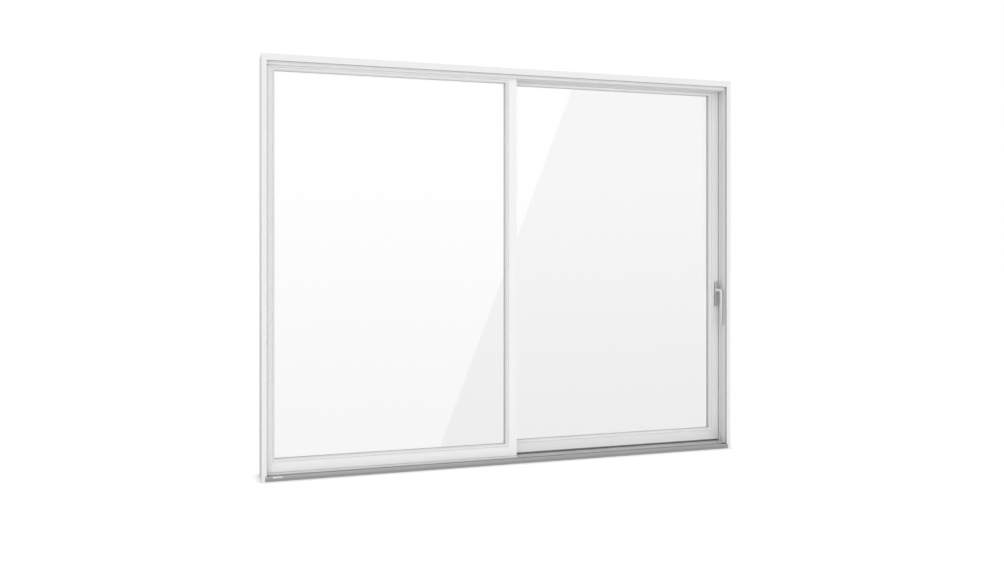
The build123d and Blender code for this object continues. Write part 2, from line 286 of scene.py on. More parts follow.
def new_group(name: str, inputs: dict[str, float],
              outputs: tuple[str, ...]) -> tuple[Wiring, Node, Node]:
    """Make an empty shader node group of numbers.

    Args:
        name: the group's name.
        inputs: default value by input name.
        outputs: the outputs' names.

    Returns:
        The wiring of the group's tree, its input node and its output node.
    """
    group = bpy.data.node_groups.new(name, "ShaderNodeTree")
    for label, value in inputs.items():
        socket = group.interface.new_socket(label, in_out="INPUT", socket_type="NodeSocketFloat")
        socket.default_value = value
    for label in outputs:
        group.interface.new_socket(label, in_out="OUTPUT", socket_type="NodeSocketFloat")
    given = group.nodes.new("NodeGroupInput")
    out = group.nodes.new("NodeGroupOutput")
    return Wiring(group), given, out


@dataclass
class SurfaceEffects:
    """The node groups that several finishes share."""

    dust_from: float = 0.6
    dust_full: float = 0.95
    mottle: Tree = field(init=False)
    streaks: Tree = field(init=False)
    dust: Tree = field(init=False)

    def __post_init__(self) -> None:
        """Build each group once."""
        self.mottle = self._mottle()
        self.streaks = self._streaks()
        self.dust = self._dust_and_sheen()

    def _mottle(self) -> Tree:
        """Make the fine orange peel and the broad, faint unevenness of sprayed paint.

        Returns:
            The group.
        """
        sizes = {"Peel Size": 700.0, "Cloud Size": 2.2}
        wires, given, out = new_group("sprayed_surface", sizes, ("Mask", "Height"))
        place = wires.add("TexCoord").outputs["Object"]
        peel = wires.noise(place, given.outputs["Peel Size"], detail=2.0, roughness=0.5)
        clouds = wires.noise(place, given.outputs["Cloud Size"], detail=3.0, roughness=0.6)
        wires.join(clouds, out.inputs["Mask"])
        wires.join(peel, out.inputs["Height"])
        return wires.tree

    def _dust_and_sheen(self) -> Tree:
        """Make the patchy dust that lies only on faces that look up; heavy and pale on the
        threshold, it is also a painted sheen on the deck's top.

        Returns:
            The group.
        """
        sizes = {"Amount": 0.2, "Patch Size": 14.0}
        wires, given, out = new_group("settled_dust_and_sheen", sizes, ("Mask",))
        parts = wires.add("SeparateXYZ")
        wires.join(wires.add("NewGeometry").outputs["Normal"], parts.inputs["Vector"])
        level = wires.ramp(parts.outputs["Z"], From_Min=self.dust_from, From_Max=self.dust_full)
        place = wires.add("TexCoord").outputs["Object"]
        patches = wires.noise(place, given.outputs["Patch Size"], detail=6.0, roughness=0.7)
        lying = wires.number("MULTIPLY", level, patches)
        wires.join(wires.number("MULTIPLY", lying, given.outputs["Amount"]), out.inputs["Mask"])
        return wires.tree

    def _streaks(self) -> Tree:
        """Make the long fine lines of drawn metal, or of timber under paint.

        Returns:
            The group.
        """
        sizes = {"Along X": 1.0, "Along Y": 1.0, "Along Z": 1.0, "Fineness": 900.0}
        wires, given, out = new_group("drawn_lines", sizes, ("Mask", "Height"))
        stretch = wires.add("CombineXYZ")
        for axis in "XYZ":
            wires.join(given.outputs[f"Along {axis}"], stretch.inputs[axis])
        place = wires.add("TexCoord").outputs["Object"]
        drawn = wires.vector("MULTIPLY", place, stretch.outputs["Vector"])
        lines = wires.noise(drawn, given.outputs["Fineness"], detail=4.0, roughness=0.65)
        wires.join(lines, out.inputs["Mask"])
        wires.join(lines, out.inputs["Height"])
        return wires.tree


def start_material(name: str) -> tuple[Material, Wiring, Node]:
    """Make a material with only a Principled shader and its output.

    Args:
        name: the material's name.

    Returns:
        The material, the wiring of its tree and its Principled node.
    """
    material = bpy.data.materials.new(name)
    material.use_nodes = True
    return material, Wiring(material.node_tree), material.node_tree.nodes["Principled BSDF"]


@dataclass(frozen=True)
class DustyFinish:
    """What paint and metal share: an uneven colour and gloss under a thin layer of dust, which on
    the threshold also paints a sheen on faces that look up.
    """

    name: str
    level: float
    grain: Optional[Grain] = None
    unevenness: float = 0.012
    roughness: float = 0.38
    roughness_spread: float = 0.06
    dust: float = 0.10
    dust_and_sheen_level: float = 0.70

    def colour(self, wires: Wiring, shader: Node, mask: Socket, effects: SurfaceEffects) -> None:
        """Give a shader its colour, gloss and dust, with the painted sheen that heavy pale dust
        adds.

        Args:
            wires: the wiring of the material's tree.
            shader: the Principled shader.
            mask: the output that varies over the surface.
            effects: the shared node groups.
        """
        dust_and_sheen_mask = wires.add("Group", effects.dust, Amount=self.dust).outputs["Mask"]
        low = grey(self.level * (1 - self.unevenness))
        high = grey(self.level * (1 + self.unevenness))
        clean = wires.blend(mask, low, high)
        dusty_with_sheen = wires.blend(dust_and_sheen_mask, clean, dust_and_sheen_colour(self.dust_and_sheen_level))
        wires.join(dusty_with_sheen, shader.inputs["Base Color"])
        gloss = wires.spread(mask, self.roughness, self.roughness_spread)
        wires.join(wires.number("ADD", gloss, dust_and_sheen_mask), shader.inputs["Roughness"])


@dataclass(frozen=True)
class PaintFinish(DustyFinish):
    """Sprayed paint, plastic or rubber: orange peel, with timber's grain faintly under it."""

    peel_size: float = 700.0
    peel_depth: float = 0.00003
    peel_strength: float = 0.35
    grain_share: float = 0.8
    grain_fineness: float = 90.0

    def build(self, effects: SurfaceEffects) -> Material:
        """Make the material.

        Args:
            effects: the shared node groups.

        Returns:
            The finished material.
        """
        material, wires, shader = start_material(self.name)
        surface = wires.add("Group", effects.mottle, Peel_Size=self.peel_size)
        self.colour(wires, shader, surface.outputs["Mask"], effects)
        height = surface.outputs["Height"]
        if self.grain is not None:
            fibres = wires.add("Group", effects.streaks, Fineness=self.grain_fineness,
                               **axis_values(self.grain))
            under = wires.number("MULTIPLY", fibres.outputs["Height"], self.grain_share)
            height = wires.number("ADD", height, under)
        wires.bump(shader, height, self.peel_strength, self.peel_depth)
        return material


@dataclass(frozen=True)
class MetalFinish(DustyFinish):
    """Anodised or brushed metal with lines along the way it was drawn."""

    unevenness: float = 0.05
    roughness: float = 0.36
    roughness_spread: float = 0.10
    dust: float = 0.12
    metallic: float = 1.0
    line_depth: float = 0.00002
    line_strength: float = 0.4
    fineness: float = 900.0

    def build(self, effects: SurfaceEffects) -> Material:
        """Make the material.

        Args:
            effects: the shared node groups.

        Returns:
            The finished material.
        """
        material, wires, shader = start_material(self.name)
        surface = wires.add("Group", effects.streaks, Fineness=self.fineness,
                            **axis_values(self.grain))
        self.colour(wires, shader, surface.outputs["Mask"], effects)
        shader.inputs["Metallic"].default_value = self.metallic
        wires.bump(shader, surface.outputs["Height"], self.line_strength, self.line_depth)
        return material


@dataclass(frozen=True)
class GlassFinish:
    """Clear float glass that lets shadow rays through, so panes cast hardly any shade."""

    name: str
    ior: float = 1.52

    def build(self, effects: SurfaceEffects) -> Material:
        """Make the material.

        Args:
            effects: the shared node groups, unused by polished glass.

        Returns:
            The finished material.
        """
        material, wires, shader = start_material(self.name)
        shader.inputs["Base Color"].default_value = grey(1.0)
        shader.inputs["Roughness"].default_value = 0.0
        shader.inputs["IOR"].default_value = self.ior
        shader.inputs["Transmission Weight"].default_value = 1.0
        clear = wires.add("BsdfTransparent", Color=grey(1.0))
        path = wires.add("LightPath").outputs
        through = wires.number("MAXIMUM", path["Is Shadow Ray"], path["Is Diffuse Ray"])
        pane = wires.shader("MixShader", through, shader.outputs["BSDF"], clear.outputs["BSDF"])
        wires.join(pane, material.node_tree.nodes["Material Output"].inputs["Surface"])
        return material


class Look(Enum):
    """The finishes that single pieces take in place of their slot's usual one."""

    UPRIGHT_TIMBER = "white_satin_paint_upright"
    # The panel and bead looks carry paint lighter than the frame's: painted light for their shaded
    # recesses.
    PANEL_TIMBER_PAINTED_LIGHT = "white_panel_paint"
    UPRIGHT_PANEL_TIMBER_PAINTED_LIGHT = "white_panel_paint_upright"
    UPRIGHT_BEAD_PAINTED_LIGHT = "white_bead_paint_upright"
    WHITE_RUBBER_PAINTED_LIGHT = "white_closing_rubber"
    LEVER = "lever_anodised"
    COVER = "plate_cover_anodised"
    DARK_PLASTIC = "dark_plastic"
    SCREW = "screw_zinc"
    BADGE = "blank_badge_aluminium"
    BLACK_RUBBER = "black_rubber"
    PLUG = "white_plug_plastic"
    LIP_SHADE = "grey_lip_rubber"


@dataclass
class Finishes:
    """Every finish of the door, built once and handed out by slot or by look."""

    effects: SurfaceEffects = field(default_factory=SurfaceEffects)
    by_slot: dict[Slot, Material] = field(default_factory=dict)
    by_look: dict[Look, Material] = field(default_factory=dict)

    def __post_init__(self) -> None:
        """Build one material for each slot and each look."""
        lengthways, upright = Grain.ALONG_X, Grain.ALONG_Z
        rubber = {"roughness": 0.7, "peel_depth": 0.00006}
        plastic = {"roughness": 0.5, "peel_size": 420.0}
        slots = {
            Slot.TIMBER: PaintFinish("white_satin_paint", FRAME_WHITE, lengthways),
            # The beads' paint is lighter than the frame's: painted light for their shaded sides.
            Slot.BEAD: PaintFinish("white_bead_paint", BEAD_WHITE_WITH_PAINTED_LIGHT, lengthways),
            # The threshold's heavy, pale dust lightens its faces that look up: partly real dust,
            # partly a painted sheen on the deck's top.
            Slot.THRESHOLD: MetalFinish("threshold_anodised", 0.50, lengthways, metallic=0.4,
                                        roughness=0.42, dust=0.7, dust_and_sheen_level=0.80),
            # The base's dark grey paints the shade on the lower front of the threshold, below the
            # deck's nose.
            Slot.BASE: PaintFinish("threshold_composite", 0.34, roughness=0.6, peel_size=420.0),
            Slot.RAIL: MetalFinish("rail_steel", 0.60, lengthways, metallic=0.8, roughness=0.3),
            Slot.GUIDE: MetalFinish("guide_anodised", 0.60, lengthways, metallic=0.8,
                                    roughness=0.4),
            # The gaskets' pale grey is partly their own colour and partly painted light in the
            # shaded corner beside the glass.
            Slot.GASKET: PaintFinish("pale_gasket_painted_light", 0.81, roughness=0.65, peel_depth=0.00006),
            # The seals' grey, lighter than black rubber, partly paints light into the shaded gap
            # under the sliding panel.
            Slot.SEAL: PaintFinish("grey_seal", 0.30, **rubber),
            Slot.GLASS: GlassFinish("clear_glass"),
            Slot.SPACER: MetalFinish("spacer_bar", 0.64, upright, metallic=0.3, roughness=0.45),
            Slot.LOCK: MetalFinish("lock_steel", 0.66, upright, metallic=0.7, roughness=0.35),
            Slot.RUNNING: PaintFinish("black_nylon", 0.05, dust_and_sheen_level=0.3, **plastic),
            Slot.HANDLE: MetalFinish("handle_anodised", 0.76, upright, metallic=0.7,
                                     roughness=0.32, line_depth=0.00001),
        }
        looks = {
            Look.UPRIGHT_TIMBER: PaintFinish(Look.UPRIGHT_TIMBER.value, FRAME_WHITE, upright),
            # The panels' paint is lighter than the frame's: painted light for their recessed
            # faces.
            Look.PANEL_TIMBER_PAINTED_LIGHT: PaintFinish(Look.PANEL_TIMBER_PAINTED_LIGHT.value, PANEL_WHITE_WITH_PAINTED_LIGHT, lengthways),
            Look.UPRIGHT_PANEL_TIMBER_PAINTED_LIGHT: PaintFinish(Look.UPRIGHT_PANEL_TIMBER_PAINTED_LIGHT.value, PANEL_WHITE_WITH_PAINTED_LIGHT,
                                                   upright),
            Look.UPRIGHT_BEAD_PAINTED_LIGHT: PaintFinish(Look.UPRIGHT_BEAD_PAINTED_LIGHT.value, BEAD_WHITE_WITH_PAINTED_LIGHT, upright),
            # The closing seal's white paints light into the shaded gap beside the sliding panel's
            # edge.
            Look.WHITE_RUBBER_PAINTED_LIGHT: PaintFinish(Look.WHITE_RUBBER_PAINTED_LIGHT.value, FRAME_WHITE, roughness=0.65,
                                           peel_depth=0.00006),
            Look.LEVER: MetalFinish(Look.LEVER.value, 0.88, upright, metallic=0.7,
                                    roughness=0.24, roughness_spread=0.04,
                                    line_depth=0.000002, dust=0.0),
            Look.COVER: MetalFinish(Look.COVER.value, 0.76, upright, metallic=0.7,
                                    roughness=0.30, roughness_spread=0.05,
                                    line_depth=0.00001, dust=0.0),
            Look.DARK_PLASTIC: PaintFinish(Look.DARK_PLASTIC.value, 0.07, **plastic),
            Look.SCREW: MetalFinish(Look.SCREW.value, 0.72, upright, metallic=0.8,
                                    roughness=0.28, line_depth=0.000006),
            Look.BADGE: MetalFinish(Look.BADGE.value, 0.86, lengthways, metallic=0.3,
                                    roughness=0.35, line_depth=0.00001),
            # Black rubber for the travel stop, and painted shade on the pads at the drip groove's
            # ends.
            Look.BLACK_RUBBER: PaintFinish(Look.BLACK_RUBBER.value, 0.03, dust_and_sheen_level=0.25,
                                           **rubber),
            Look.PLUG: PaintFinish(Look.PLUG.value, 0.84, roughness=0.3, peel_size=300.0),
            # The lip strips' dark grey is painted shade for the groove behind the frame's lip.
            Look.LIP_SHADE: PaintFinish(Look.LIP_SHADE.value, 0.30, dust_and_sheen_level=0.5, **rubber),
        }
        for slot, plan in slots.items():
            self.by_slot[slot] = plan.build(self.effects)
        for look, plan in looks.items():
            self.by_look[look] = plan.build(self.effects)

    def dress_nodes(self) -> None:
        """Give each node of the frame its finish, with timber's grain along the piece."""
        # Panel members take the lighter panel paint, painted light for their recessed faces; the
        # frame's members keep its white.
        lying: dict[str, Optional[Look]] = {"frame": None, "fixed": Look.PANEL_TIMBER_PAINTED_LIGHT,
                                            "slide": Look.PANEL_TIMBER_PAINTED_LIGHT}
        standing = {"frame": Look.UPRIGHT_TIMBER, "fixed": Look.UPRIGHT_PANEL_TIMBER_PAINTED_LIGHT,
                    "slide": Look.UPRIGHT_PANEL_TIMBER_PAINTED_LIGHT}
        # The closing seal takes white, painted light in its shaded gap; the fixed panel's left
        # stile keeps the frame's darker white, painted shade beside the jamb.
        single = {"closing_seal": Look.WHITE_RUBBER_PAINTED_LIGHT, "fixed_left_stile": Look.UPRIGHT_TIMBER}
        for row in frame["record"]["subparts"]:
            node, slot = row["node"], Slot(row["material_slot"])
            low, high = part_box(node)
            upright = high[Z] - low[Z] > high[X] - low[X]
            look = single.get(node)
            if look is None and slot is Slot.TIMBER:
                look = (standing if upright else lying)[node.split("_")[0]]
            elif look is None and slot is Slot.BEAD and upright:
                look = Look.UPRIGHT_BEAD_PAINTED_LIGHT
            material = self.by_slot[slot] if look is None else self.by_look[look]
            mesh = frame["nodes"][node].data
            mesh.materials.clear()
            mesh.materials.append(material)
            LOG.info("node %s takes %s", node, material.name)


def clear_selection() -> None:
    """Leave edit mode and deselect every object."""
    if bpy.context.object is not None and bpy.context.object.mode == "EDIT":
        bpy.ops.object.mode_set(mode="OBJECT")
    bpy.ops.object.select_all(action="DESELECT")


def open_piece(part: Part) -> None:
    """Open the active piece in edit mode, its place in its mesh, with nothing selected.

    Args:
        part: what is to be picked next.
    """
    if bpy.context.object.mode != "EDIT":
        bpy.ops.object.transform_apply(location=True, rotation=True, scale=True)
        bpy.ops.object.mode_set(mode="EDIT")
    bpy.ops.mesh.select_mode(type=part.value)
    bpy.ops.mesh.select_all(action="DESELECT")


def pick(part: Part, test: Test) -> None:
    """Select the parts of the open piece that pass a test, and nothing else.

    Args:
        part: whether faces, edges or vertices are picked.
        test: takes the part's middle and its normal, or an edge's direction.
    """
    open_piece(part)
    mesh = bmesh.from_edit_mesh(bpy.context.object.data)
    mesh.normal_update()
    if part is Part.FACE:
        found = [(face, face.calc_center_median(), face.normal) for face in mesh.faces]
    elif part is Part.EDGE:
        found = [(edge, (edge.verts[0].co + edge.verts[1].co) / 2,
                  (edge.verts[1].co - edge.verts[0].co).normalized()) for edge in mesh.edges]
    else:
        found = [(vertex, vertex.co, vertex.normal) for vertex in mesh.verts]
    for item, middle, way in found:
        if test(middle, way):
            item.select_set(True)
    mesh.select_flush_mode()
    bmesh.update_edit_mesh(bpy.context.object.data)


def everything(middle: Vector, way: Vector) -> bool:
    """Pass every part."""
    return True


def at_level(axis: int, level: float) -> Test:
    """Return a test that passes what lies at one level along an axis."""
    return lambda middle, way: abs(middle[axis] - level) < SAME


def along(axis: int) -> Test:
    """Return a test that passes edges that run along an axis and faces that look along it."""
    return lambda middle, way: abs(way[axis]) > STRAIGHT


def towards(direction: Vector) -> Test:
    """Return a test that passes faces that look in one direction."""
    return lambda middle, way: way.dot(direction) > STRAIGHT


def push(x: float = 0.0, y: float = 0.0, z: float = 0.0) -> None:
    """Extrude the selection and move the new end."""
    bpy.ops.mesh.extrude_region_move(TRANSFORM_OT_translate={"value": (x, y, z)})


def swell(factor: float, middle: Vector) -> None:
    """Scale the selection evenly about a point, kept flat by the selection itself."""
    bpy.ops.transform.resize(value=(factor, factor, factor), center_override=middle)


def soften(test: Test, offset: float, segments: int) -> None:
    """Bevel the edges that pass a test, by a width and in so many steps."""
    pick(Part.EDGE, test)
    bpy.ops.mesh.bevel(offset=offset, segments=segments)


@dataclass(frozen=True)
class Piece:
    """What a finished piece is called, what it rides on and what it is made of."""

    name: str
    body: Body
    slot: Slot
    look: Look

    def finish(self, finishes: Finishes, sharp: float = SHARP) -> bpy.types.Object:
        """Close the open piece, tidy its mesh, dress it and hand it to the frame.

        Args:
            finishes: the door's finishes.
            sharp: the angle in degrees over which an edge stays sharp.

        Returns:
            The finished piece.
        """
        open_piece(Part.VERTEX)
        bpy.ops.mesh.select_all(action="SELECT")
        bpy.ops.mesh.remove_doubles(threshold=SAME / 10)
        bpy.ops.mesh.normals_make_consistent(inside=False)
        bpy.ops.object.mode_set(mode="OBJECT")
        bpy.ops.object.shade_smooth_by_angle(angle=math.radians(sharp))
        piece = bpy.context.object
        piece.data.materials.append(finishes.by_look[self.look])
        self.hand_over(piece)
        return piece

    def hand_over(self, piece: bpy.types.Object) -> None:
        """Name a piece and tell the frame what it rides on.

        Args:
            piece: the finished piece.
        """
        piece.name = piece.data.name = self.name
        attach(piece, self.body.value)
        LOG.info("piece %s rides %s, %d faces", self.name, self.body.value,
                 len(piece.data.polygons))


def set_out(finishes: Finishes, places: list[tuple[Piece, Matrix]], sharp: float = SHARP) -> None:
    """Finish the open model as the first piece and copy it, with its mesh, to the other places.

    Args:
        finishes: the door's finishes.
        places: each piece with the matrix that takes the model to its place.
        sharp: the angle in degrees over which an edge stays sharp.
    """
    first, home = places[0]
    model = first.finish(finishes, sharp)
    model.data.transform(home)
    for piece, place in places[1:]:
        copy = model.copy()
        copy.data = model.data.copy()
        copy.data.transform(place @ home.inverted())
        bpy.context.scene.collection.objects.link(copy)
        piece.hand_over(copy)


def block(low: Corner, high: Corner) -> None:
    """Start a piece as a block.

    Args:
        low: its lowest corner.
        high: its highest corner.
    """
    clear_selection()
    middle = [(a + b) / 2 for a, b in zip(low, high)]
    bpy.ops.mesh.primitive_cube_add(size=1.0, location=middle)
    bpy.context.object.scale = [b - a for a, b in zip(low, high)]


@dataclass(frozen=True)
class RoundHead:
    """The round head that a screw or plug starts from, at the origin and looking up."""

    radius: float
    proud: float
    edge: float
    sides: int
    edge_steps: int
    sunk: float = 0.0006

    def start(self) -> None:
        """Model the head with a softened rim, and leave its flat top picked."""
        clear_selection()
        bpy.ops.mesh.primitive_circle_add(vertices=self.sides, radius=self.radius,
                                          fill_type="NGON", location=(0, 0, -self.sunk))
        pick(Part.FACE, everything)
        push(z=self.sunk + self.proud)
        soften(at_level(Z, self.proud), self.edge, self.edge_steps)
        floor = self.proud - self.edge / 4
        pick(Part.FACE, lambda middle, way: middle.z > floor and way.z > STRAIGHT)


@dataclass
class Assembly:
    """What every sub-assembly is given: the door's finishes."""

    finishes: Finishes

    def build(self) -> None:
        """Build the sub-assembly's pieces."""
        raise NotImplementedError


@dataclass
class LeverHandle(Assembly):
    """The lever with its collar, tapered neck and round bar, and the plate behind it."""

    spindle_x: float = 1.265
    spindle_z: float = 0.897
    face_y: float = 0.0097
    collar_radius: float = 0.0120
    collar_thick: float = 0.0022
    collar_edge: float = 0.0007
    neck_steps: tuple[tuple[float, float], ...] = ((0.0108, 0.0), (0.0102, 0.004),
                                                   (0.0094, 0.012), (0.0087, 0.024))
    bar_radius: float = 0.0085
    bend_y: float = -0.0285
    bend_radius: float = 0.012
    bend_steps: int = 14
    foot_z: float = 0.699
    foot_round: float = 0.006
    sides: int = 48
    plate_low: Corner = (1.252, 0.0100, 0.807)
    plate_high: Corner = (1.278, 0.0190, 0.944)
    cover_thick: float = 0.0030
    cover_edge: float = 0.0014
    plate_corner: float = 0.0030
    base_inset: float = 0.0003

    def build(self) -> None:
        """Build the lever and its plate."""
        lever = self._lever()
        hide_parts("handle_lever")
        cover = self._cover()
        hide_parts("handle_plate")
        self._plate_base()

    def _lever(self) -> bpy.types.Object:
        """Draw the lever out of one circle: collar, neck, elbow, bar and rounded foot.

        Returns:
            The finished lever.
        """
        axis = Vector((self.spindle_x, 0.0, self.spindle_z))
        clear_selection()
        bpy.ops.mesh.primitive_circle_add(vertices=self.sides, radius=self.collar_radius,
                                          fill_type="NGON",
                                          location=axis + Vector((0, self.face_y, 0)),
                                          rotation=(math.radians(90), 0, 0))
        pick(Part.FACE, everything)
        push(y=-self.collar_thick)
        start = level = self.face_y - self.collar_thick
        radius = self.collar_radius
        for wanted, reach in self.neck_steps:
            push(y=start - reach - level)
            level = start - reach
            swell(wanted / radius, axis + Vector((0, level, 0)))
            radius = wanted
        push(y=self.bend_y - level)
        swell(self.bar_radius / radius, axis + Vector((0, self.bend_y, 0)))
        bpy.ops.mesh.delete(type="ONLY_FACE")
        pick(Part.EDGE, at_level(Y, self.bend_y))
        turn_z = self.spindle_z - self.bend_radius
        bpy.ops.mesh.spin(steps=self.bend_steps, angle=math.radians(-90), axis=(1, 0, 0),
                          center=(self.spindle_x, self.bend_y, turn_z))
        push(z=self.foot_z - turn_z)
        bpy.ops.mesh.edge_face_add()
        soften(at_level(Z, self.foot_z), self.foot_round, 6)
        centre = axis + Vector((0, start, 0))
        inside = (self.collar_radius + self.neck_steps[0][0]) / 2 + SAME
        soften(lambda middle, way: abs(middle.y - start) < SAME
               and (middle - centre).length > inside, self.collar_edge, 3)
        return Piece("lever", Body.LEVER, Slot.HANDLE, Look.LEVER).finish(self.finishes)

    def _cover(self) -> bpy.types.Object:
        """Make the metal cover with its softly rounded front edge.

        Returns:
            The finished cover.
        """
        low, high = self.plate_low, self.plate_high
        block(low, (high[X], low[Y] + self.cover_thick, high[Z]))
        soften(along(Y), self.plate_corner, 5)
        soften(at_level(Y, low[Y]), self.cover_edge, 4)
        return Piece("plate_cover", Body.PANEL, Slot.HANDLE, Look.COVER).finish(self.finishes)

    def _plate_base(self) -> None:
        """Make the nearly black block behind the cover, which darkens the plate's sides."""
        low, high, inset = self.plate_low, self.plate_high, self.base_inset
        block((low[X] + inset, low[Y] + self.cover_thick, low[Z] + inset),
              (high[X] - inset, high[Y], high[Z] - inset))
        soften(along(Y), self.plate_corner, 5)
        Piece("plate_base", Body.PANEL, Slot.HANDLE, Look.DARK_PLASTIC).finish(self.finishes)


@dataclass
class Screws(Assembly):
    """Countersunk screws with a six-lobed recess, modelled once and copied to each place."""

    head: RoundHead = RoundHead(radius=0.0034, proud=0.0002, edge=0.00015, sides=24, edge_steps=2)
    recess_radius: float = 0.0018
    recess_deep: float = 0.0006
    recess_slack: float = 1.1
    lobe: tuple[float, ...] = (1.0, 0.90, 0.76, 0.90)
    track_y: float = 0.047
    keeper_x: float = 1.2835
    keeper_heights: tuple[float, ...] = (0.832, 0.962)
    faceplate_x: float = 1.278
    faceplate_heights: tuple[float, ...] = (0.412, 0.622, 0.832, 0.962, 1.172, 1.382)
    foot_z: float = 0.028
    foot_offset: float = 0.0063
    foot_scale: float = 0.75
    foot_first: float = -1.20
    foot_step: float = 0.30
    foot_count: int = 9

    def build(self) -> None:
        """Model one screw and set it out in the keeper, the faceplate and the rail's foot."""
        to_left, to_right = (Matrix.Rotation(math.radians(turn), 4, "Y") for turn in (-90, 90))
        keeper = [(self.keeper_x, self.track_y, z) for z in self.keeper_heights]
        faceplate = [(self.faceplate_x, self.track_y, z) for z in self.faceplate_heights]
        foot = [(self.foot_first + self.foot_step * number,
                 self.track_y + (self.foot_offset if number % 2 else -self.foot_offset),
                 self.foot_z) for number in range(self.foot_count)]
        rows = (("keeper", Body.FRAME, Slot.LOCK, to_left, keeper),
                ("faceplate", Body.PANEL, Slot.LOCK, to_right, faceplate),
                ("rail", Body.FRAME, Slot.RAIL, Matrix.Scale(self.foot_scale, 4), foot))
        places = [(Piece(f"{name}_screw_{number}", body, slot, Look.SCREW),
                   Matrix.Translation(spot) @ turn)
                  for name, body, slot, turn, spots in rows
                  for number, spot in enumerate(spots, 1)]
        self._model()
        set_out(self.finishes, places, SHARP_ROUND)

    def _model(self) -> None:
        """Model one screw head with its recess, at the origin and looking up."""
        top = self.head.proud
        self.head.start()
        bpy.ops.mesh.inset(thickness=self.head.radius - self.head.edge - self.recess_radius)
        for step, share in enumerate(self.lobe):
            pick(Part.VERTEX, lambda middle, way: self._in_lobe(middle, step))
            bpy.ops.transform.resize(value=(share, share, 1.0), center_override=(0, 0, top))
        pick(Part.FACE, lambda middle, way: middle.length < top * 2 and way.z > STRAIGHT)
        push(z=-self.recess_deep)

    def _in_lobe(self, place: Vector, step: int) -> bool:
        """Say whether a vertex is on the recess's rim, some steps round from a lobe's tip.

        Args:
            place: the vertex's place.
            step: how many steps round from the tip.

        Returns:
            Whether it is.
        """
        far = math.hypot(place.x, place.y)
        if place.z < self.head.proud - SAME or far > self.recess_radius * self.recess_slack:
            return False
        turn = round(math.degrees(math.atan2(place.y, place.x)) / (360 / self.head.sides))
        return turn % len(self.lobe) == step


@dataclass
class ThresholdTrim(Assembly):
    """The small things on the threshold: the blank badge, the black end pads that paint the shade
    at the drip groove's ends, and the travel stop.
    """

    badge_low: Corner = (-1.246, -0.0806, 0.0145)
    badge_high: Corner = (-1.198, -0.0800, 0.0235)
    badge_corner: float = 0.0015
    badge_edge: float = 0.0002
    pad_size: Corner = (0.021, 0.021, 0.0095)
    pad_place: tuple[float, float] = (-0.0715, 0.015)
    pad_end_x: float = 1.283
    pad_rim: float = 0.0024
    pad_dish: float = 0.0012
    pad_edge: float = 0.0004
    stop_low: Corner = (-1.284, 0.035, 0.0285)
    stop_high: Corner = (-1.236, 0.059, 0.062)
    stop_nose: float = 0.008
    stop_rim: float = 0.002
    stop_taper: float = 0.8
    stop_edge: float = 0.001

    def build(self) -> None:
        """Build the badge, both pads and the stop."""
        self._badge()
        self._shade_pads()
        self._stop()

    def _badge(self) -> None:
        """Make the bare badge plate on the front of the nose."""
        block(self.badge_low, self.badge_high)
        soften(along(Y), self.badge_corner, 4)
        soften(at_level(Y, self.badge_low[Y]), self.badge_edge, 2)
        piece = Piece("blank_badge", Body.FRAME, Slot.THRESHOLD, Look.BADGE)
        piece.finish(self.finishes)

    def _shade_pads(self) -> None:
        """Make the black pads at both jambs' ends of the drip groove, painted shade where the
        groove ends.
        """
        back, low = self.pad_place
        long, deep, tall = self.pad_size
        top = low + tall
        block((self.pad_end_x - long, back, low), (self.pad_end_x, back + deep, top))
        pick(Part.FACE, towards(Vector((0, 0, 1))))
        bpy.ops.mesh.inset(thickness=self.pad_rim)
        push(z=-self.pad_dish)
        soften(lambda middle, way: abs(middle.z - top) < SAME and abs(way.z) < SAME,
               self.pad_edge, 2)
        shift = Matrix.Translation((long - 2 * self.pad_end_x, 0, 0))
        set_out(self.finishes, [
            (Piece("threshold_shade_pad_right", Body.FRAME, Slot.SEAL, Look.BLACK_RUBBER), Matrix()),
            (Piece("threshold_shade_pad_left", Body.FRAME, Slot.SEAL, Look.BLACK_RUBBER), shift)])

    def _stop(self) -> None:
        """Make the rubber buffer that ends the panel's travel beside the left jamb."""
        low, high = self.stop_low, self.stop_high
        block(low, high)
        pick(Part.FACE, towards(Vector((1, 0, 0))))
        bpy.ops.mesh.inset(thickness=self.stop_rim)
        push(x=self.stop_nose)
        swell(self.stop_taper, Vector((high[X] + self.stop_nose, (low[Y] + high[Y]) / 2,
                                       (low[Z] + high[Z]) / 2)))
        soften(lambda middle, way: middle.x > low[X] + SAME, self.stop_edge, 3)
        piece = Piece("travel_stop", Body.FRAME, Slot.SEAL, Look.BLACK_RUBBER)
        piece.finish(self.finishes)


